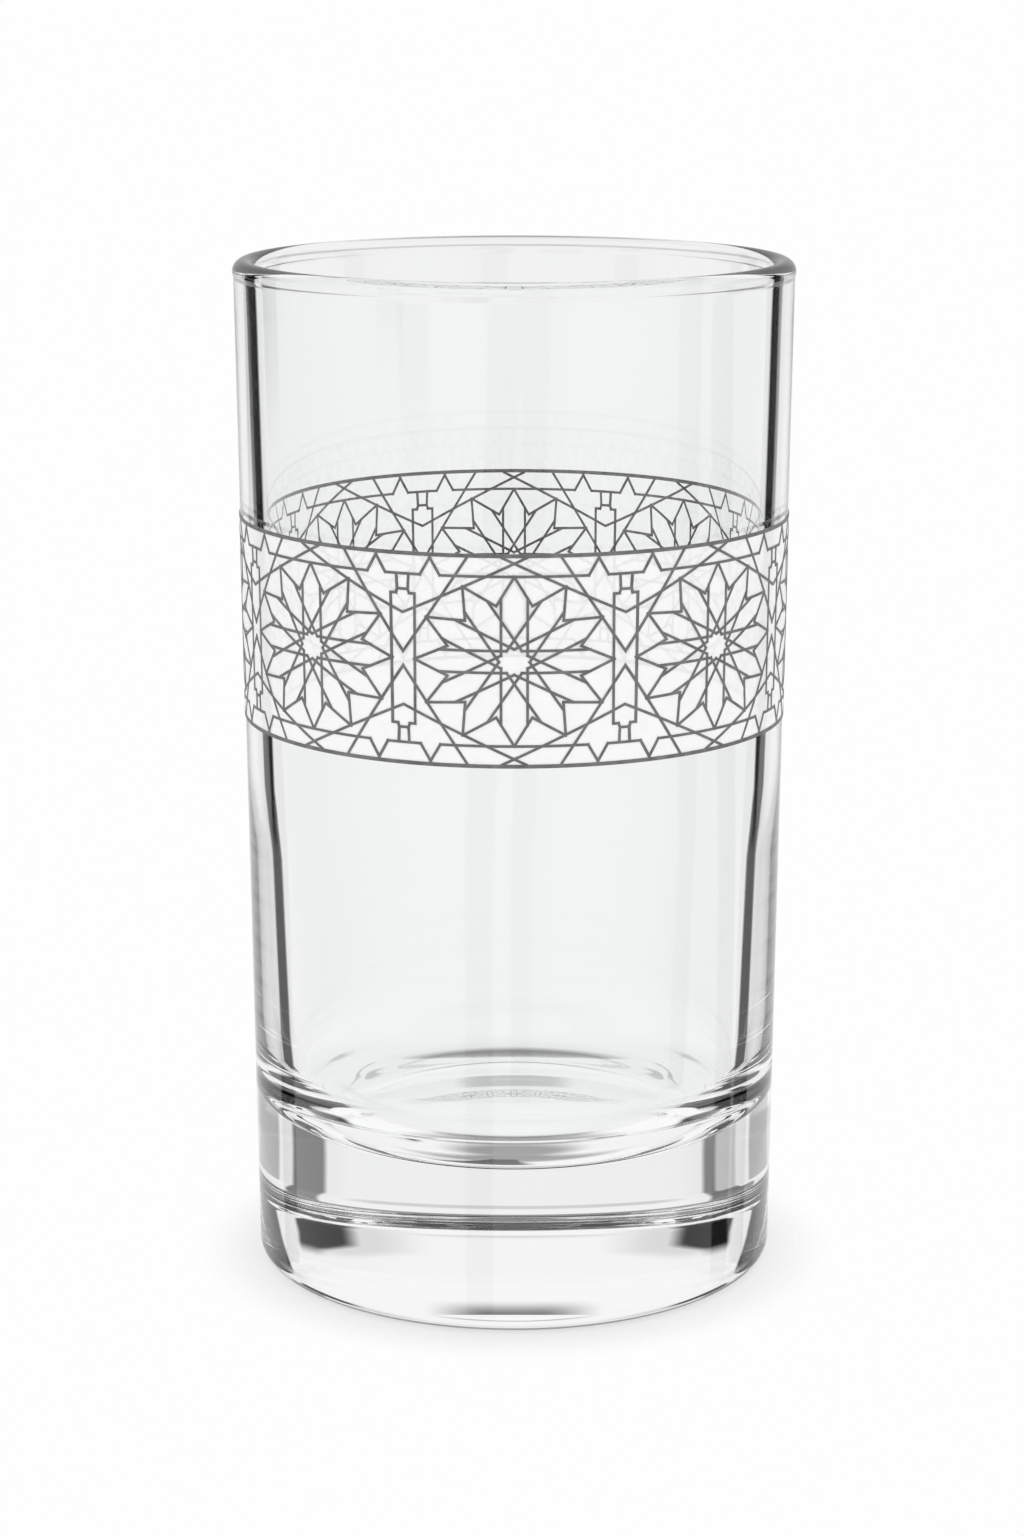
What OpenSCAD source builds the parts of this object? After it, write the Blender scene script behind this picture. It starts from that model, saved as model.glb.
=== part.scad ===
// Moroccan tea glass: a straight pressed tumbler with a heavy base and a printed band.
// Z is the axis, the table is at Z = 0, and the front rosette faces -Y.

/* [Glass] */
// Height over all
glass_h = 100; // [80:1:130]
// Outer radius of the wall at the top
rim_r = 27; // [24:0.1:34]
// Outer radius of the wall carried down to the table
base_r = 25.8; // [20:0.1:32]
// Half the thickness of the rounded lip
lip_r = 1.15; // [0.6:0.02:1.5]
// How far the lip stands out from the wall
lip_out = 0.1; // [0:0.02:0.4]

/* [Bore] */
// Radius of the bore under the lip
bore_top_r = 24.85; // [22:0.1:32]
// Radius of the bore where the wall starts to thicken
bore_mid_r = 23.7; // [20:0.05:30]
// Height where the wall starts to thicken
bore_mid_z = 46.3; // [30:0.1:70]
// Lean of the lower bore in degrees
bore_lean = 3.2; // [0:0.1:6]
// Height of the bore floor above the table
floor_z = 14; // [6:0.5:24]
// Radius of the round between the bore and its floor
floor_round = 9; // [3:0.5:18]

/* [Foot] */
// Radius of the round under the outer wall
foot_round = 1.6; // [1:0.1:8]
// Inner radius of the flat ring that the glass stands on
foot_inner_r = 21.5; // [12:0.5:23]
// Depth of the hollow under the base
dish_depth = 1; // [0.2:0.1:2]

/* [Printed band] */
// Height of the middle of the band
band_z = 65.6; // [40:0.1:80]
// Height from the middle to each border rule
rule_y = 9.8; // [8:0.05:14]
// Width of the border rules
rule_w = 0.36; // [0.2:0.02:0.8]
// Width of the pattern strokes
line_w = 0.25; // [0.15:0.01:0.5]
// Thickness of the pale ground under the print
ground_t = 0.03; // [0.02:0.01:0.1]
// Thickness of the fired print
print_t = 0.06; // [0.04:0.01:0.15]
// Number of rosettes round the glass
repeats = 8; // [6:1:12]

/* [Rosette] */
// Distance of each petal side from the petal's own axis
petal_side = 1.05; // [0.8:0.01:1.3]
// Distance from the centre to the petal shoulders
petal_shoulder = 6.05; // [4:0.05:7]
// Distance from the centre to the petal points at the sides and at the top
petal_point = 8.08; // [7:0.01:9]

/* [Hidden] */
$fn = 180;
eps = 0.01;
glass_colour = [0.86, 0.9, 0.89, 0.35];
print_colour = [0.42, 0.42, 0.42];
ground_colour = [0.95, 0.95, 0.95, 0.8];

// The outer wall is a straight cone from base_r to rim_r.
wall_slope = (rim_r - base_r) / glass_h;
wall_lean = atan(wall_slope);
lip_z = glass_h - lip_r;
lip_x = base_r + wall_slope * lip_z + lip_out - lip_r;
foot_tangent_z = foot_round * (1 - sin(wall_lean));
foot_x = base_r + wall_slope * foot_tangent_z - foot_round * cos(wall_lean);
floor_tangent_z = floor_z + floor_round * (1 - sin(bore_lean));
floor_tangent_x = bore_mid_r - (bore_mid_z - floor_tangent_z) * tan(bore_lean);
floor_x = floor_tangent_x - floor_round * cos(bore_lean);
dish_r = (foot_inner_r * foot_inner_r + dish_depth * dish_depth) / (2 * dish_depth);

// One repeat of the pattern is drawn flat in its own units, half of it this wide and high.
cell_half = 9.007;
cell_rule = 10.05;
cell_scale = rule_y / cell_rule;
turn = 180 / repeats;
band_r = base_r + wall_slope * band_z;
cell_over = 0.4;
rays = 12;
ray_turn = 360 / rays;
// The petal sides start at the notches of the star in the middle.
notch_x = petal_side * tan(ray_turn);
// Each petal point is drawn on inwards until it meets its neighbour's.
point_rise = petal_side / (petal_point - petal_shoulder);
meet_x = petal_point * point_rise / (point_rise + tan(ray_turn / 2));
meet = [meet_x, meet_x * tan(ray_turn / 2)];
// Petal points reach the straps that run past them.
steep_reach = 8.175;
shallow_reach = 8.21;
// The straps: a steep one and a shallow one, each from a column to a border rule.
strap_end_y = cell_rule - rule_w / 2;
steep_from = [cell_half, 0.75];
steep_to = [3.74, strap_end_y];
shallow_top_y = 9.35;
shallow_from_y = 4.45;
shallow_slope = (shallow_top_y - shallow_from_y) / cell_half;
shallow_to_x = -(strap_end_y - shallow_top_y) / shallow_slope;
// The border line runs level, with one raised point on each side of a column.
border_y = 8.1;
point_x = 6.75;
point_half = 0.82;
point_y = 9.75;
// The column between two rosettes, with a shoulder and a narrow neck.
side_x = 8.03;
shoulder_y = 6.24;
shoulder_x = 8.49;
neck_x = 8.6;
neck_y = 6.64;
neck_top_x = 8.54;

// Outer radius of the wall at a height.
function wall_r(z) = base_r + wall_slope * z;

// A point of the flat pattern, carried onto the plane that touches the band.
function placed(p) = [band_r * sin(p[0] * turn / cell_half), p[1] * cell_scale];

function turned(p, a) = [p[0] * cos(a) - p[1] * sin(a), p[0] * sin(a) + p[1] * cos(a)];

module outer_outline() {
    polygon([
        [0, 0],
        [foot_x, 0],
        [foot_x + foot_round * cos(wall_lean), foot_tangent_z],
        [wall_r(lip_z), lip_z],
        [0, lip_z]
    ]);
    translate([foot_x, foot_round]) circle(foot_round);
}

module bore_outline() {
    polygon([
        [0, floor_z],
        [floor_x, floor_z],
        [floor_tangent_x, floor_tangent_z],
        [bore_mid_r, bore_mid_z],
        [bore_top_r, lip_z],
        [bore_top_r, glass_h + 1],
        [0, glass_h + 1]
    ]);
    intersection() {
        translate([floor_x, floor_z + floor_round]) circle(floor_round);
        square([glass_h, glass_h]);
    }
}

module glass_outline() {
    difference() {
        outer_outline();
        bore_outline();
        intersection() {
            translate([0, dish_depth - dish_r]) circle(dish_r);
            translate([0, -1]) square([foot_inner_r + 1, dish_depth + 2]);
        }
    }
    translate([lip_x, lip_z]) circle(lip_r);
}

// A ring that lies on the wall between two heights, from one thickness over the glass to another.
module wall_band(z0, z1, from_t, to_t) {
    rotate_extrude() polygon([
        [wall_r(z0) + from_t, z0],
        [wall_r(z0) + to_t, z0],
        [wall_r(z1) + to_t, z1],
        [wall_r(z1) + from_t, z1]
    ]);
}

// A ring of print, on top of the pale ground.
module print_band(z0, z1) {
    wall_band(z0, z1, ground_t, ground_t + print_t);
}

// A straight stroke of the pattern between two points.
module stroke(a, b) {
    p = placed(a);
    q = placed(b);
    along = (q - p) / norm(q - p) * line_w / 2;
    across = [-along[1], along[0]];
    polygon([p - along + across, p - along - across, q + along - across, q + along + across]);
}

module path(points) {
    for (i = [1 : len(points) - 1]) stroke(points[i - 1], points[i]);
}

// The same strokes in all four quarters of the cell.
module four_ways() {
    for (i = [0, 1], j = [0, 1]) mirror([i, 0]) mirror([0, j]) children();
}

module border_strokes() {
    four_ways() path([
        [0, border_y],
        [point_x - point_half, border_y],
        [point_x, point_y],
        [point_x + point_half, border_y],
        [cell_half + cell_over, border_y]
    ]);
}

module column_strokes() {
    four_ways() {
        path([[side_x, 0], [side_x, shoulder_y], [shoulder_x, shoulder_y], [neck_x, neck_y]]);
        path([[neck_top_x, border_y], [neck_x, neck_y], [cell_half + cell_over, neck_y]]);
    }
}

module strap_strokes() {
    four_ways() {
        stroke([cell_half + cell_over, steep_from[1] - cell_over * tan(60)], steep_to);
        stroke([cell_half + cell_over, shallow_from_y - cell_over * shallow_slope],
            [shallow_to_x, strap_end_y]);
    }
}

// The long strokes that cross round the star in the middle and run out along each petal.
module side_strokes() {
    for (k = [0 : rays - 1], s = [-1, 1]) {
        stroke(turned([notch_x, s * petal_side], k * ray_turn),
            turned([petal_shoulder, s * petal_side], k * ray_turn));
    }
}

// How far the point of petal k reaches, so that it meets what runs past it.
function reach(k) = k % 3 == 0 ? petal_point : (k % 6 == 1 || k % 6 == 5) ? steep_reach : shallow_reach;

module point_strokes() {
    for (k = [0 : rays - 1], s = [-1, 1]) {
        stroke(turned([meet[0], s * meet[1]], k * ray_turn), turned([reach(k), 0], k * ray_turn));
    }
}

// Wraps flat strokes round the wall once per repeat, each in its own slice of the band.
module wrapped() {
    tile_h = rule_y - rule_w / 2;
    for (i = [0 : repeats - 1]) rotate([0, 0, i * 360 / repeats]) intersection() {
        print_band(band_z - tile_h, band_z + tile_h);
        translate([0, 0, band_z]) rotate([90, 0, 0]) linear_extrude(rim_r * 2) children();
        translate([0, 0, band_z - rule_y]) linear_extrude(rule_y * 2) polygon([
            [0, 0],
            [-2 * rim_r * sin(turn), -2 * rim_r * cos(turn)],
            [2 * rim_r * sin(turn), -2 * rim_r * cos(turn)]
        ]);
    }
}

module glass_body() {
    color(glass_colour) rotate_extrude() glass_outline();
}

module band_ground() {
    ground_h = rule_y + rule_w / 2;
    color(ground_colour) wall_band(band_z - ground_h, band_z + ground_h, 0, ground_t);
}

module upper_rule() {
    color(print_colour) print_band(band_z + rule_y - rule_w / 2, band_z + rule_y + rule_w / 2);
}

module lower_rule() {
    color(print_colour) print_band(band_z - rule_y - rule_w / 2, band_z - rule_y + rule_w / 2);
}

module border_lines() {
    color(print_colour) wrapped() border_strokes();
}

module column_lines() {
    color(print_colour) wrapped() difference() {
        column_strokes();
        border_strokes();
    }
}

module strap_lines() {
    color(print_colour) wrapped() difference() {
        strap_strokes();
        border_strokes();
        column_strokes();
    }
}

module petal_sides() {
    color(print_colour) wrapped() side_strokes();
}

module petal_points() {
    color(print_colour) wrapped() difference() {
        point_strokes();
        side_strokes();
        border_strokes();
        column_strokes();
        strap_strokes();
    }
}

glass_body();
band_ground();
upper_rule();
lower_rule();
border_lines();
column_lines();
strap_lines();
petal_sides();
petal_points();
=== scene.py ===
"""Moroccan tea glass: the clear glass, its printed band, the floor, the light and the camera."""

import math

import bmesh
import bpy
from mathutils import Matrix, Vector


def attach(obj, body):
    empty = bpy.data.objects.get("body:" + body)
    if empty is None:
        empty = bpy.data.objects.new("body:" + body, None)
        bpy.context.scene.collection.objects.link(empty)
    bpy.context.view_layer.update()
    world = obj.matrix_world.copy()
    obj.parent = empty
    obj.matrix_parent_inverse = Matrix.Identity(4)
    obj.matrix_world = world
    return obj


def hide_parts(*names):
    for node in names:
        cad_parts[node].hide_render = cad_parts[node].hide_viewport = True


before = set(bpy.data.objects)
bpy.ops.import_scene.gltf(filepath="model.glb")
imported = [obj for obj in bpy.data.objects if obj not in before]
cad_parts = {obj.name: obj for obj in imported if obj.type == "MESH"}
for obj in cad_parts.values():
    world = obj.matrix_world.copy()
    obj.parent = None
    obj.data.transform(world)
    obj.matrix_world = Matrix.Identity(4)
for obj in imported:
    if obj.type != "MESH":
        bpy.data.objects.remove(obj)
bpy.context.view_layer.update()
MM = 0.001

# The glass, in millimetres, as the source of the solids has it.
GLASS_H = 100.0
RIM_R = 27.0
BASE_R = 25.8
LIP_R = 1.15
LIP_OUT = 0.1
BORE_TOP_R = 24.85
BORE_MID_R = 23.7
BORE_MID_Z = 46.3
BORE_LEAN = math.radians(3.2)
BORE_FLOOR_Z = 14.0
BORE_ROUND = 9.0
FOOT_ROUND = 1.6
FOOT_INNER_R = 21.5
DISH_DEPTH = 1.0
BAND_Z = 65.6
BAND_HALF = 9.98
GROUND_OUT = 0.03
WALL_SLOPE = (RIM_R - BASE_R) / GLASS_H

# Where this glass departs from the solids, by less than 0.1 mm. The bead of the lip goes on round
# under its middle, and a short slope carries it to the wall and to the bore. The upper bore is a
# hair narrower, and the ground starts a hair off the wall, so that no two faces coincide.
LIP_UNDER = math.radians(16.0)
LIP_FROM = 98.3
LIP_KINK = 0.2
BORE_IN = 0.01
GROUND_IN = 0.006

# How many steps each run and arc of the section has, and the turn about the axis.
BORE_FLOOR_STEPS = 6
BORE_ROUND_STEPS = 28
LOWER_BORE_STEPS = 8
UPPER_BORE_STEPS = 14
LIP_STEPS = 40
WALL_STEPS = 24
FOOT_STEPS = 12
DISH_STEPS = 14
TURN_STEPS = 288
# Points nearer to each other than this, in metres, are one point.
SAME_POINT = 1e-7

# The camera, fitted to the outline, the rim, the band and the foot. The pitch is in radians.
CAM_DISTANCE = 352.74
CAM_HEIGHT = 130.51
CAM_SIDE = -0.21
CAM_PITCH = 0.22548
CAM_LENS = 85.44
CAM_SENSOR = 36.0
CAM_CLIP = 10.0

PRINT_NODES = ("upper_rule", "lower_rule", "border_lines", "column_lines", "strap_lines",
               "petal_sides", "petal_points")


class HalfSection:
    """A half section in the plane of the axis: straight runs and arcs, one after the other."""

    def __init__(self, r, z):
        self.bm = bmesh.new()
        self.last = self.bm.verts.new((r * MM, 0.0, z * MM))

    def run(self, r, z, steps=1):
        """A straight run to a radius and a height."""
        start = self.last.co.copy()
        end = Vector((r * MM, 0.0, z * MM))
        for i in range(1, steps + 1):
            self.last = bmesh.ops.extrude_vert_indiv(self.bm, verts=[self.last])["verts"][0]
            self.last.co = start.lerp(end, i / steps)

    def arc(self, r, z, degrees, steps):
        """An arc about a centre, anticlockwise as seen with the axis on the left."""
        turned = bmesh.ops.spin(self.bm, geom=[self.last], cent=(r * MM, 0.0, z * MM),
                                axis=(0, -1, 0), angle=math.radians(degrees), steps=steps,
                                use_merge=False)
        self.last = [v for v in turned["geom_last"] if isinstance(v, bmesh.types.BMVert)][0]

    def turned(self, name):
        """The section turned once about the axis, closed at its poles."""
        bm = self.bm
        bmesh.ops.spin(bm, geom=bm.verts[:] + bm.edges[:], cent=(0, 0, 0), axis=(0, 0, 1),
                       angle=2 * math.pi, steps=TURN_STEPS, use_merge=True)
        bmesh.ops.remove_doubles(bm, verts=bm.verts[:], dist=SAME_POINT)
        bmesh.ops.recalc_face_normals(bm, faces=bm.faces[:])
        mesh = bpy.data.meshes.new(name)
        bm.to_mesh(mesh)
        bm.free()
        mesh.polygons.foreach_set("use_smooth", [True] * len(mesh.polygons))
        obj = bpy.data.objects.new(name, mesh)
        bpy.context.scene.collection.objects.link(obj)
        return obj


def wall_r(z):
    """Outer radius of the wall at a height."""
    return BASE_R + WALL_SLOPE * z


def glass_tumbler():
    """The pressed glass, from the middle of the bore's floor round to the middle of the hollow."""
    lean = math.atan(WALL_SLOPE)
    lip_z = GLASS_H - LIP_R
    lip_x = wall_r(lip_z) + LIP_OUT - LIP_R
    upper_bore_r = BORE_TOP_R - BORE_IN
    tangent_z = BORE_FLOOR_Z + BORE_ROUND * (1 - math.sin(BORE_LEAN))
    tangent_x = BORE_MID_R - (BORE_MID_Z - tangent_z) * math.tan(BORE_LEAN)
    floor_x = tangent_x - BORE_ROUND * math.cos(BORE_LEAN)
    foot_z = FOOT_ROUND * (1 - math.sin(lean))
    foot_x = wall_r(foot_z) - FOOT_ROUND * math.cos(lean)
    dish_r = (FOOT_INNER_R**2 + DISH_DEPTH**2) / (2 * DISH_DEPTH)
    dish_turn = math.degrees(math.asin(FOOT_INNER_R / dish_r))

    section = HalfSection(0.0, BORE_FLOOR_Z)
    section.run(floor_x, BORE_FLOOR_Z, BORE_FLOOR_STEPS)
    section.arc(floor_x, BORE_FLOOR_Z + BORE_ROUND, 90 - math.degrees(BORE_LEAN),
                BORE_ROUND_STEPS)
    section.run(BORE_MID_R, BORE_MID_Z, LOWER_BORE_STEPS)
    section.run(upper_bore_r, LIP_FROM - LIP_KINK, UPPER_BORE_STEPS)
    section.run(upper_bore_r, LIP_FROM)
    section.run(lip_x - LIP_R * math.cos(LIP_UNDER), lip_z - LIP_R * math.sin(LIP_UNDER))
    section.arc(lip_x, lip_z, -180 - 2 * math.degrees(LIP_UNDER), LIP_STEPS)
    section.run(wall_r(LIP_FROM), LIP_FROM)
    section.run(wall_r(LIP_FROM - LIP_KINK), LIP_FROM - LIP_KINK)
    section.run(wall_r(foot_z), foot_z, WALL_STEPS)
    section.arc(foot_x, FOOT_ROUND, math.degrees(lean) - 90, FOOT_STEPS)
    section.run(FOOT_INNER_R, 0.0)
    section.arc(0.0, DISH_DEPTH - dish_r, dish_turn, DISH_STEPS)
    return section.turned("glass_tumbler")


def print_ground():
    """The pale ground that the pattern is printed on, a thin sleeve round the wall."""
    low, high = BAND_Z - BAND_HALF, BAND_Z + BAND_HALF
    section = HalfSection(wall_r(low) + GROUND_IN, low)
    section.run(wall_r(low) + GROUND_OUT, low)
    section.run(wall_r(high) + GROUND_OUT, high)
    section.run(wall_r(high) + GROUND_IN, high)
    section.run(wall_r(low) + GROUND_IN, low)
    return section.turned("print_ground")


# A face looks towards the axis where its normal and its radius, in metres, have less than this in
# common.
INWARD = -0.01


def looks_inward(face):
    return face.normal.dot(face.center * Vector((1, 1, 0))) < INWARD


def join(links, value, socket):
    """Links a value that is a socket, or sets one that is a number."""
    if isinstance(value, bpy.types.NodeSocket):
        links.new(value, socket)
    else:
        socket.default_value = value


def math_node(nodes, links, operation, a, b=None):
    node = nodes.new("ShaderNodeMath")
    node.operation = operation
    join(links, a, node.inputs[0])
    if b is not None:
        join(links, b, node.inputs[1])
    return node.outputs[0]


def map_range(nodes, links, value, lo, hi, to_lo=0.0, to_hi=1.0):
    node = nodes.new("ShaderNodeMapRange")
    node.interpolation_type = "SMOOTHSTEP"
    join(links, value, node.inputs["Value"])
    ends = zip(("From Min", "From Max", "To Min", "To Max"), (lo, hi, to_lo, to_hi))
    for name, number in ends:
        join(links, number, node.inputs[name])
    return node.outputs["Result"]


# The finishes. Each unevenness has its waves per metre, a bump has its strength and its height in
# millimetres, and the tones, the roughness and the clearness run between two ends.
COARSE, FINE = 2.0, 3.0
NOISE_SPAN = (0.3, 0.7)
GLASS_COLOUR = (0.965, 0.972, 0.97, 1)
GLASS_IOR = 1.5
SMEAR_WAVES = 90.0
SMEAR_SPAN = (0.35, 0.8)
SMEAR_ROUGHNESS = (0.0, 0.03)
SWELL_WAVES = 45.0
SWELL_BUMP = (0.15, 0.05)
ENAMEL_WAVES = 900.0
ENAMEL_TONE = (0.1, 0.17)
ENAMEL_ROUGHNESS = 0.45
GRAIN_WAVES = 4000.0
GRAIN_BUMP = (0.4, 0.02)
GROUND_WAVES = 1200.0
GROUND_TONE = (0.94, 0.99)
# The share of its light that the ground throws back. The rest goes on through it.
GROUND_FRONT = 0.85
CLEAR_OUTSIDE = (0.1, 0.2)
CLEAR_INSIDE = (0.98, 1.0)

UNEVEN_INPUTS = ("Waves", "Detail", "Low", "High", "From", "To")


def uneven_group():
    """A node group for an uneven finish, fixed to the piece: its height, and its tone."""
    group = bpy.data.node_groups.new("uneven finish", "ShaderNodeTree")
    for name in UNEVEN_INPUTS:
        group.interface.new_socket(name, in_out="INPUT", socket_type="NodeSocketFloat")
    for name in ("Height", "Tone"):
        group.interface.new_socket(name, in_out="OUTPUT", socket_type="NodeSocketFloat")
    nodes, links = group.nodes, group.links
    given = nodes.new("NodeGroupInput").outputs
    made = nodes.new("NodeGroupOutput").inputs
    coords = nodes.new("ShaderNodeTexCoord")
    noise = nodes.new("ShaderNodeTexNoise")
    tone = nodes.new("ShaderNodeMapRange")
    sockets = (noise.inputs["Scale"], noise.inputs["Detail"], tone.inputs["From Min"],
               tone.inputs["From Max"], tone.inputs["To Min"], tone.inputs["To Max"])
    for name, socket in zip(UNEVEN_INPUTS, sockets):
        links.new(given[name], socket)
    links.new(coords.outputs["Object"], noise.inputs["Vector"])
    links.new(noise.outputs["Fac"], tone.inputs["Value"])
    links.new(noise.outputs["Fac"], made["Height"])
    links.new(tone.outputs["Result"], made["Tone"])
    return group


UNEVEN = uneven_group()


def uneven(nodes, waves, ends=(0.0, 1.0), span=NOISE_SPAN, detail=COARSE):
    """The uneven finish in a material, between two ends over a span of the noise."""
    node = nodes.new("ShaderNodeGroup")
    node.node_tree = UNEVEN
    for name, value in zip(UNEVEN_INPUTS, (waves, detail, *span, *ends)):
        node.inputs[name].default_value = value
    return node.outputs


def new_material(name):
    mat = bpy.data.materials.new(name)
    mat.use_nodes = True
    mat.node_tree.nodes.clear()
    out = mat.node_tree.nodes.new("ShaderNodeOutputMaterial")
    return mat, mat.node_tree.nodes, mat.node_tree.links, out


def bump(nodes, links, height, strength, distance):
    node = nodes.new("ShaderNodeBump")
    node.inputs["Strength"].default_value = strength
    node.inputs["Distance"].default_value = distance * MM
    links.new(height, node.inputs["Height"])
    return node.outputs["Normal"]


def mix_shaders(nodes, links, factor, a, b):
    """A mix of two shaders, by a socket or a number."""
    node = nodes.new("ShaderNodeMixShader")
    join(links, factor, node.inputs[0])
    links.new(a, node.inputs[1])
    links.new(b, node.inputs[2])
    return node.outputs[0]


def glass_material():
    """Clear pressed glass: its surface swells and dips very slightly, as a pressed wall does."""
    mat, nodes, links, out = new_material("clear pressed glass")
    glass = nodes.new("ShaderNodeBsdfPrincipled")
    glass.inputs["Base Color"].default_value = GLASS_COLOUR
    glass.inputs["IOR"].default_value = GLASS_IOR
    glass.inputs["Transmission Weight"].default_value = 1.0
    smears = uneven(nodes, SMEAR_WAVES, SMEAR_ROUGHNESS, SMEAR_SPAN)
    links.new(smears["Tone"], glass.inputs["Roughness"])
    swell = uneven(nodes, SWELL_WAVES)
    links.new(bump(nodes, links, swell["Height"], *SWELL_BUMP), glass.inputs["Normal"])
    links.new(glass.outputs["BSDF"], out.inputs["Surface"])
    return mat


def print_material():
    """Grey fired enamel: slightly uneven in tone and height, satin."""
    mat, nodes, links, out = new_material("grey enamel")
    enamel = nodes.new("ShaderNodeBsdfPrincipled")
    mottle = uneven(nodes, ENAMEL_WAVES, ENAMEL_TONE, detail=FINE)
    links.new(mottle["Tone"], enamel.inputs["Base Color"])
    grain = uneven(nodes, GRAIN_WAVES)
    links.new(bump(nodes, links, grain["Height"], *GRAIN_BUMP), enamel.inputs["Normal"])
    enamel.inputs["Roughness"].default_value = ENAMEL_ROUGHNESS
    links.new(enamel.outputs["BSDF"], out.inputs["Surface"])
    return mat


def ground_material(name, clearness):
    """Pale translucent ground: it scatters light once where it is crossed, whichever way."""
    mat, nodes, links, out = new_material(name)
    tone = uneven(nodes, GROUND_WAVES, GROUND_TONE, detail=FINE)["Tone"]
    share = uneven(nodes, GROUND_WAVES, clearness, detail=FINE)["Tone"]
    front = nodes.new("ShaderNodeBsdfDiffuse")
    through = nodes.new("ShaderNodeBsdfTranslucent")
    links.new(tone, front.inputs["Color"])
    links.new(tone, through.inputs["Color"])
    clear = nodes.new("ShaderNodeBsdfTransparent").outputs[0]
    scatter = mix_shaders(nodes, links, 1 - GROUND_FRONT, front.outputs[0], through.outputs[0])
    veil = mix_shaders(nodes, links, share, scatter, clear)
    # The far side of the sleeve's own wall lets all through, so that a crossing scatters once.
    geometry = nodes.new("ShaderNodeNewGeometry")
    once = mix_shaders(nodes, links, geometry.outputs["Backfacing"], veil, clear)
    links.new(once, out.inputs["Surface"])
    return mat


# The world is white, with a pair of dark flags beside each way of looking at the glass. Where a
# flag stands depends on what the ray has done in the glass: it went straight through the wall or
# the base, was reflected inside once or often, or met the surface only. A ray that has crossed
# both walls is clear of the flags and sees nearly plain white. Headings are anticlockwise from +Y,
# elevations count upwards, and all angles are in degrees.
#
# The paths are told apart by how many faces they have crossed and how often they were reflected.
SURFACE_BELOW = 0.5
SOLID_BELOW = 2.5
ONCE_OVER = 0.5
OFTEN_OVER = 1.5
MANY_OVER = 6.5

# Each pair of flags has its heading and the elevations between which it stands.
FLAG_PAIRS = ((0.0, -29.5, 20.0), (225.0, -29.5, 20.0), (90.0, -7.0, 9.0), (45.0, -60.0, -30.5))
FLAG_FADE = 4.0
# A flag's edges lean where it comes down, where it rises and high up. Each lean begins at the first
# elevation and is full at the second.
LEAN_DOWN = (-8, -20)
LEAN_UP = (5, 13)
LEAN_HIGH = (17, 22)


class Flag:
    """A flag's inner and outer edges, off straight ahead, for one kind of ray, and their leans."""

    def __init__(self, inner, outer, soft, depth, down=LEAN_DOWN, down_by=(0, 0), up_by=(0, 0),
                 high_by=(0, 0)):
        self.edges = (inner, outer)
        self.soft = soft
        self.depth = depth
        self.down = down
        self.lean = tuple(zip(down_by, up_by, high_by))


STRAIGHT = Flag(33.5, 46.5, 2.5, 0.8)
ONCE = Flag(28.1, 40.5, 2.4, 0.99, down_by=(7.0, 5.0), up_by=(-6.0, 2.5), high_by=(10.0, 1.0))
OFTEN = Flag(22.0, 34.0, 4.0, 0.95, down=(-10, -28), down_by=(-10, -8))
SURFACE = Flag(41.0, 54.0, 2.5, 0.97, down=(-7, -17), down_by=(12, 11))
OUTER_SOFT = 2.6
# For rays reflected once, the flags are softer high up and a little paler low down.
HIGH_SOFT = 7.0
HIGH_SOFT_FROM = (8, 12)
LOW_DEPTH = 0.86
LOW_DEPTH_FROM = (-21, -17)
# A faint skirt inside each flag, for rays that went straight through or were reflected once.
SKIRT = 13.0
SKIRT_DEPTH = (0.12, 0.25)
# The pairs that stand from low down to high up have a second flag further out. It serves rays that
# leave the base upwards and, paler, rays that went straight through and downwards.
FAR_LOWER = -20.0
FAR_UPPER = 15.0
FAR_EDGES = (57.0, 75.0)
FAR_SOFT = 2.5
FAR_HIGH = 28.0
FAR_DEPTH = 0.98
FAR_UP_FROM = (10.0, 12.0)
FAR_DOWN_DEPTH = 0.6
FAR_DOWN_FROM = (-14, -16)

# Patches of shade have a depth, then a heading with the angles off it at which the patch begins and
# is full, or None, and then elevations at which it begins and is full. These thin out the flags for
# rays straight through, where one looks over the rim at the far wall and at the far lip.
GAPS = (
    (0.5, (45.0, 7, 5), (-25, -23), (-13, -15)),
    (1.0, (0.0, 24, 14), (-24, -26)),
)
PATCHES = {
    # Along the far lip, at its top, and what leaves the base upwards.
    "straight": (
        (0.35, (0.0, 35, 20), (-16, -13), (-6, -9)),
        (0.5, None, (-58, -66)),
        (0.7, None, (6, 11)),
    ),
    # The dark spot in the middle of the foot, a painted shade seen by rays reflected once, and what
    # rises a little out of the base.
    "once": (
        (0.8, (0.0, 17, 4), (31, 35)),
        (0.35, None, (0, 3), (12, 9)),
    ),
    # Behind the viewer, and straight overhead.
    "often": (
        (0.8, (0.0, 140, 152), (-35, -30), (30, 25)),
        (0.95, None, (56, 62)),
    ),
    # Grazing light on the lip.
    "surface": (
        (0.35, (0.0, 40, 20), (-8, -5), (28, 25)),
    ),
    # Below, ahead and straight down, for all rays that have been in the glass.
    "inside": (
        (0.62, (0.0, 44, 16), (-42, -56)),
        (0.62, None, (-65, -80)),
    ),
    # For rays that have crossed both walls: low down, ...
    "clear": (
        (0.2, None, (-50, -68)),
    ),
    # ... a thin line along the near lip and a crescent at the far side of the bore's floor, ...
    "clear straight": (
        (0.92, None, (-60, -70)),
    ),
    # ... and the faint ring round that floor.
    "clear often": (
        (0.5, (0.0, 138, 162), (21, 24), (37, 34)),
    ),
}
# Overhead, but only ahead of the glass. The second pair is the ray's part along +Y.
OVERHEAD = (0.95, None, (42, 52))
AHEAD_FROM = (-0.12, -0.04)
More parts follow.
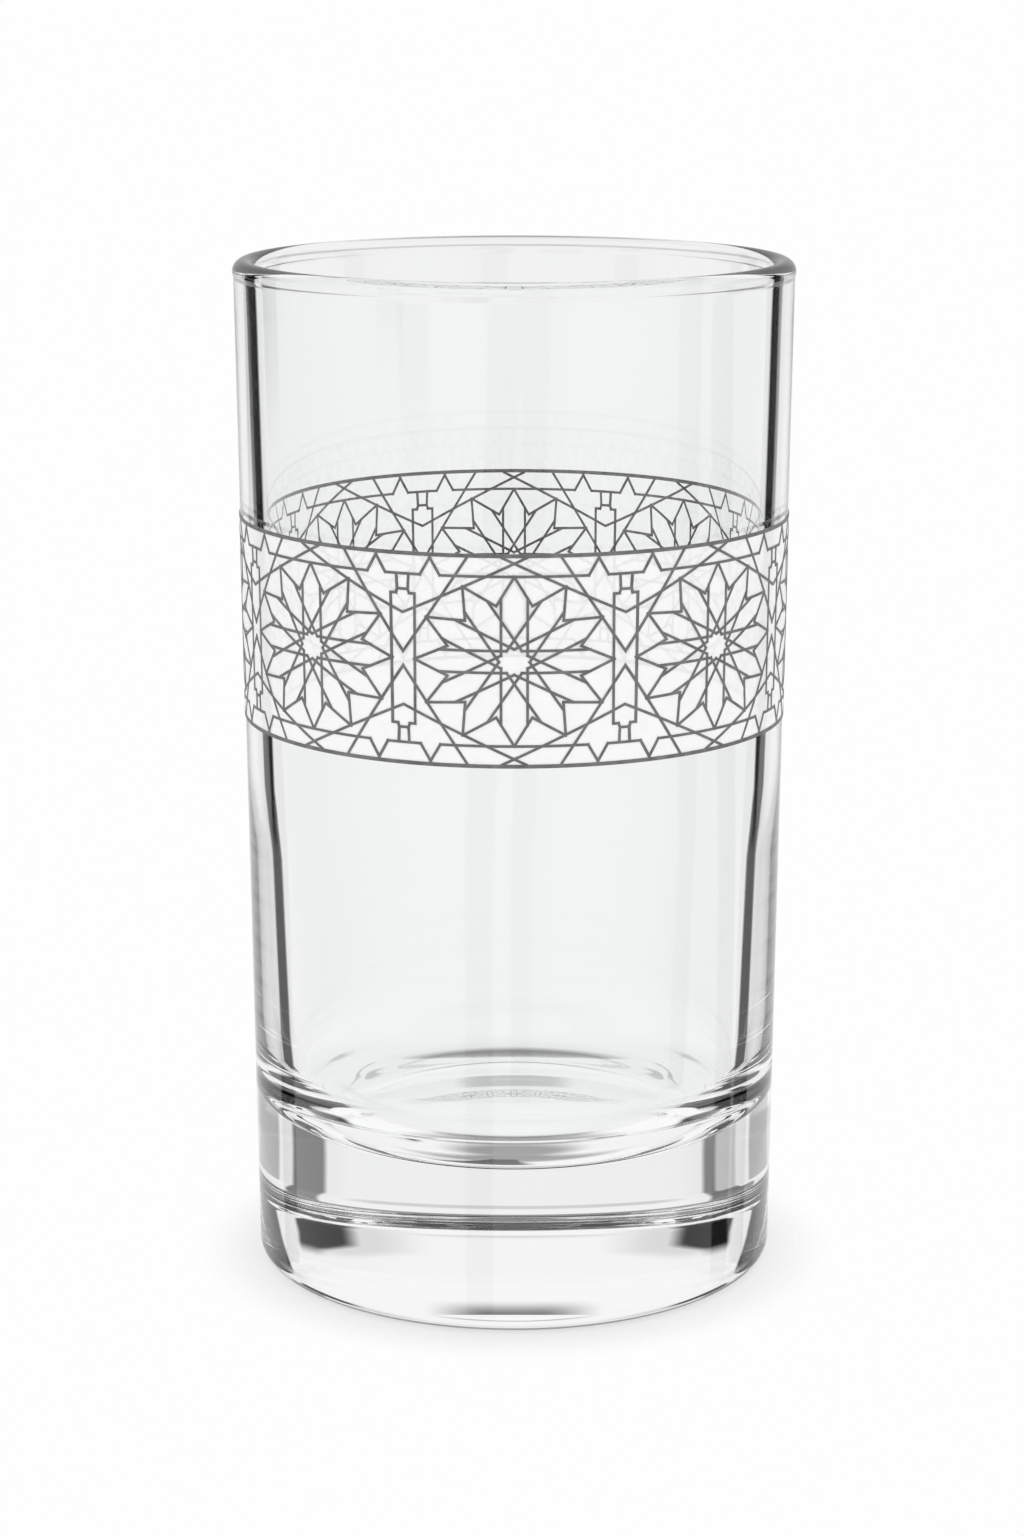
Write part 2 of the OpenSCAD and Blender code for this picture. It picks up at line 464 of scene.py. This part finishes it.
# Painted shade in the white, in place of what the glass loses: for rays straight through and
# reflected once, for those that have gone round in it many times, and for those that cross both
# walls, straight ahead and to the sides.
SOLID_SHADE = (0.08, 0.03)
MANY_DEPTH = 0.88
CLEAR_SHADE = (0.03, 0.08)
CLEAR_SHADE_FROM = (2, 14)
# The white itself, as it is seen, mirrored in the surface and as it lights what is not glass.
WHITE = 0.99
REFLECTED = 0.9
DIFFUSE_LIGHT = 1.1


class Sky:
    """The world's node tree, with angles in degrees."""

    def __init__(self, world):
        self.nodes, self.links = world.node_tree.nodes, world.node_tree.links
        self.nodes.clear()
        coords = self.nodes.new("ShaderNodeTexCoord")
        parts = self.nodes.new("ShaderNodeSeparateXYZ")
        self.links.new(coords.outputs["Generated"], parts.inputs[0])
        self.x, self.y, z = parts.outputs
        self.up = self.calc("MULTIPLY", self.calc("ARCSINE", z), math.degrees(1))
        self.offs = {}
        self.path = self.nodes.new("ShaderNodeLightPath").outputs
        crossed, bounced = self.path["Transmission Depth"], self.path["Glossy Depth"]
        self.surface = self.calc("LESS_THAN", crossed, SURFACE_BELOW)
        self.solid = self.calc("LESS_THAN", crossed, SOLID_BELOW)
        self.once = self.calc("GREATER_THAN", bounced, ONCE_OVER)
        self.often = self.calc("GREATER_THAN", bounced, OFTEN_OVER)
        self.many = self.calc("GREATER_THAN", bounced, MANY_OVER)

    def calc(self, operation, a, b=None):
        return math_node(self.nodes, self.links, operation, a, b)

    def ease(self, value, lo, hi, to_lo=0.0, to_hi=1.0):
        return map_range(self.nodes, self.links, value, lo, hi, to_lo, to_hi)

    def mix(self, factor, a, b):
        node = self.nodes.new("ShaderNodeMix")
        node.data_type = "FLOAT"
        for socket, value in zip((node.inputs[0], node.inputs[2], node.inputs[3]), (factor, a, b)):
            join(self.links, value, socket)
        return node.outputs[0]

    def most(self, *shades):
        """The deepest of several shades."""
        deepest = shades[0]
        for shade in shades[1:]:
            deepest = self.calc("MAXIMUM", deepest, shade)
        return deepest

    def left(self, share):
        """What is left when a share has gone."""
        return self.calc("SUBTRACT", 1.0, share)

    def pick(self, straight, once, often, surface):
        """The value for the kind of ray."""
        value = self.mix(self.once, straight, once)
        value = self.mix(self.often, value, often)
        return self.mix(self.surface, value, surface)

    def fade(self, value, none_at, full_at, depth=1.0):
        """From nothing to a depth between two levels, whichever is the higher."""
        if none_at < full_at:
            return self.ease(value, none_at, full_at, 0.0, depth)
        return self.ease(value, full_at, none_at, depth, 0.0)

    def between(self, value, low, high, soft):
        return self.calc("MULTIPLY", self.fade(value, low - soft, low),
                         self.fade(value, high + soft, high))

    def off(self, heading):
        """Angle between the ray and a heading, seen from above."""
        if heading not in self.offs:
            cos, sin = math.cos(math.radians(heading)), math.sin(math.radians(heading))
            ahead = self.calc("ADD", self.calc("MULTIPLY", self.x, -sin),
                              self.calc("MULTIPLY", self.y, cos))
            aside = self.calc("ADD", self.calc("MULTIPLY", self.x, cos),
                              self.calc("MULTIPLY", self.y, sin))
            turn = self.calc("ABSOLUTE", self.calc("ARCTAN2", aside, ahead))
            self.offs[heading] = self.calc("MULTIPLY", turn, math.degrees(1))
        return self.offs[heading]

    def patch(self, depth, around, *heights):
        """A patch of shade, as it is listed."""
        shade = depth
        for ends in heights:
            shade = self.calc("MULTIPLY", self.fade(self.up, *ends), shade)
        if around:
            heading, none_at, full_at = around
            turned = self.fade(self.off(heading), none_at, full_at)
            shade = self.calc("MULTIPLY", turned, shade)
        return shade

    def edge(self, flag, which):
        """Where an edge of a flag stands at this elevation."""
        place = flag.edges[which]
        for ends, lean in zip((flag.down, LEAN_UP, LEAN_HIGH), flag.lean[which]):
            if lean:
                place = self.calc("ADD", self.fade(self.up, *ends, lean), place)
        return place


def flag_shade(sky):
    """The shade of the flags, all pairs together."""
    kinds = (STRAIGHT, ONCE, OFTEN, SURFACE)
    inner, outer = (sky.pick(*(sky.edge(flag, which) for flag in kinds)) for which in (0, 1))
    once_soft = sky.ease(sky.up, *HIGH_SOFT_FROM, ONCE.soft, HIGH_SOFT)
    soft = sky.pick(STRAIGHT.soft, once_soft, OFTEN.soft, SURFACE.soft)
    straight_depth = STRAIGHT.depth
    for gap in GAPS:
        straight_depth = sky.calc("MULTIPLY", sky.left(sky.patch(*gap)), straight_depth)
    once_depth = sky.ease(sky.up, *LOW_DEPTH_FROM, LOW_DEPTH, ONCE.depth)
    depth = sky.pick(straight_depth, once_depth, OFTEN.depth, SURFACE.depth)
    skirt = sky.pick(*SKIRT_DEPTH, 0.0, 0.0)
    downwards = sky.fade(sky.up, *FAR_DOWN_FROM, FAR_DOWN_DEPTH)
    far = sky.most(sky.fade(sky.up, *FAR_UP_FROM, FAR_DEPTH),
                   sky.pick(downwards, 0.0, 0.0, 0.0))
    shades = []
    for heading, low, high in FLAG_PAIRS:
        off = sky.off(heading)
        into = sky.calc("SUBTRACT", off, inner)
        core = sky.ease(sky.calc("DIVIDE", into, soft), 0.0, 1.0)
        shade = sky.most(sky.calc("MULTIPLY", core, depth),
                         sky.calc("MULTIPLY", sky.ease(into, -SKIRT, 0.0), skirt))
        beyond = sky.calc("SUBTRACT", off, outer)
        shade = sky.calc("MULTIPLY", shade, sky.fade(beyond, OUTER_SOFT, 0.0))
        height = sky.between(sky.up, low, high, FLAG_FADE)
        shades.append(sky.calc("MULTIPLY", shade, height))
        if low < FAR_LOWER and high > FAR_UPPER:
            shade = sky.calc("MULTIPLY", sky.between(off, *FAR_EDGES, FAR_SOFT), far)
            height = sky.between(sky.up, low, FAR_HIGH, FLAG_FADE)
            shades.append(sky.calc("MULTIPLY", shade, height))
    return sky.most(*shades)


def make_world():
    """White all round, with the flags and the patches for rays that have met the glass."""
    world = bpy.data.worlds.new("white studio")
    world.use_nodes = True
    sky = Sky(world)
    patch = {kind: sky.most(*(sky.patch(*each) for each in listed))
             for kind, listed in PATCHES.items()}
    overhead = sky.calc("MULTIPLY", sky.patch(*OVERHEAD), sky.ease(sky.y, *AHEAD_FROM))
    often = sky.most(patch["often"], overhead)
    shade = sky.most(
        flag_shade(sky),
        sky.pick(patch["straight"], patch["once"], often, patch["surface"]),
        sky.calc("MULTIPLY", patch["inside"], sky.left(sky.surface)),
        # Painted shade in the white in place of what the glass loses: for rays that went round in
        # it many times, and for rays straight through or reflected once.
        sky.calc("MULTIPLY", sky.many, MANY_DEPTH),
        sky.pick(*SOLID_SHADE, 0.0, 0.0))
    clear = sky.most(
        patch["clear"],
        # Painted shade in place of what the glass loses, for rays that cross both walls.
        sky.ease(sky.off(0.0), *CLEAR_SHADE_FROM, *CLEAR_SHADE),
        sky.pick(patch["clear straight"], 0.0, patch["clear often"], 0.0))
    light = sky.left(sky.mix(sky.solid, clear, shade))
    shown = sky.calc("MULTIPLY", light, sky.mix(sky.surface, WHITE, REFLECTED))
    strength = sky.mix(sky.path["Is Camera Ray"], DIFFUSE_LIGHT, WHITE)
    strength = sky.mix(sky.path["Is Glossy Ray"], strength, shown)
    strength = sky.mix(sky.path["Is Transmission Ray"], strength, shown)
    background = sky.nodes.new("ShaderNodeBackground")
    background.inputs["Color"].default_value = (1, 1, 1, 1)
    sky.links.new(strength, background.inputs["Strength"])
    out = sky.nodes.new("ShaderNodeOutputWorld")
    sky.links.new(background.outputs[0], out.inputs["Surface"])
    bpy.context.scene.world = world


# The floor is a pale disc that fades out into the white, in millimetres.
FLOOR_R = 120.0
FLOOR_SIDES = 96
FLOOR_DROP = 0.02
FADE_FROM = 25.5
FADE_TO = 33.0
FLOOR_WAVES = 60.0
FLOOR_TONE = (0.86, 0.88)
# The share of plain white that the camera sees in it.
FLOOR_GLOW = 0.6


def make_floor():
    bm = bmesh.new()
    bmesh.ops.create_circle(bm, cap_ends=True, segments=FLOOR_SIDES, radius=FLOOR_R * MM)
    bmesh.ops.translate(bm, verts=bm.verts[:], vec=(0, 0, -FLOOR_DROP * MM))
    mesh = bpy.data.meshes.new("floor")
    bm.to_mesh(mesh)
    bm.free()
    obj = bpy.data.objects.new("floor", mesh)
    bpy.context.scene.collection.objects.link(obj)
    mat, nodes, links, out = new_material("pale floor")
    coords = nodes.new("ShaderNodeTexCoord")
    length = nodes.new("ShaderNodeVectorMath")
    length.operation = "LENGTH"
    links.new(coords.outputs["Object"], length.inputs[0])
    fade = map_range(nodes, links, length.outputs["Value"], FADE_FROM * MM, FADE_TO * MM)
    board = nodes.new("ShaderNodeBsdfDiffuse")
    links.new(uneven(nodes, FLOOR_WAVES, FLOOR_TONE)["Tone"], board.inputs["Color"])
    glow = nodes.new("ShaderNodeEmission")
    glow.inputs["Color"].default_value = (WHITE, WHITE, WHITE, 1)
    clear = nodes.new("ShaderNodeBsdfTransparent")
    path = nodes.new("ShaderNodeLightPath").outputs
    share = math_node(nodes, links, "MULTIPLY", path["Is Camera Ray"], FLOOR_GLOW)
    soft = mix_shaders(nodes, links, share, board.outputs[0], glow.outputs[0])
    # A ray that comes out of the glass goes on through the floor to the white below.
    gone = math_node(nodes, links, "MAXIMUM", fade, path["Is Transmission Ray"])
    links.new(mix_shaders(nodes, links, gone, soft, clear.outputs[0]), out.inputs["Surface"])
    mesh.materials.append(mat)


def make_camera():
    data = bpy.data.cameras.new("camera")
    data.lens = CAM_LENS
    data.sensor_width = CAM_SENSOR
    data.clip_start = CAM_CLIP * MM
    cam = bpy.data.objects.new("camera", data)
    cam.location = (CAM_SIDE * MM, -CAM_DISTANCE * MM, CAM_HEIGHT * MM)
    cam.rotation_euler = (math.pi / 2 - CAM_PITCH, 0, 0)
    bpy.context.scene.collection.objects.link(cam)
    bpy.context.scene.camera = cam


make_camera()

glass = glass_tumbler()
glass.data.materials.append(glass_material())
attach(glass, "root")
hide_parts("glass_body")

ground = print_ground()
ground.data.materials.append(ground_material("pale ground", CLEAR_OUTSIDE))
ground.data.materials.append(ground_material("pale ground seen through the glass", CLEAR_INSIDE))
for polygon in ground.data.polygons:
    polygon.use_smooth = False
    polygon.material_index = int(looks_inward(polygon))
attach(ground, "root")
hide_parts("band_ground")

enamel = print_material()
for name in PRINT_NODES:
    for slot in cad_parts[name].material_slots:
        slot.material = enamel

make_floor()
make_world()
bpy.context.scene.view_settings.view_transform = "Standard"
# Light runs round inside a thick glass wall many times before it leaves.
BOUNCES = 32
cycles = bpy.context.scene.cycles
cycles.max_bounces = cycles.glossy_bounces = cycles.transmission_bounces = BOUNCES
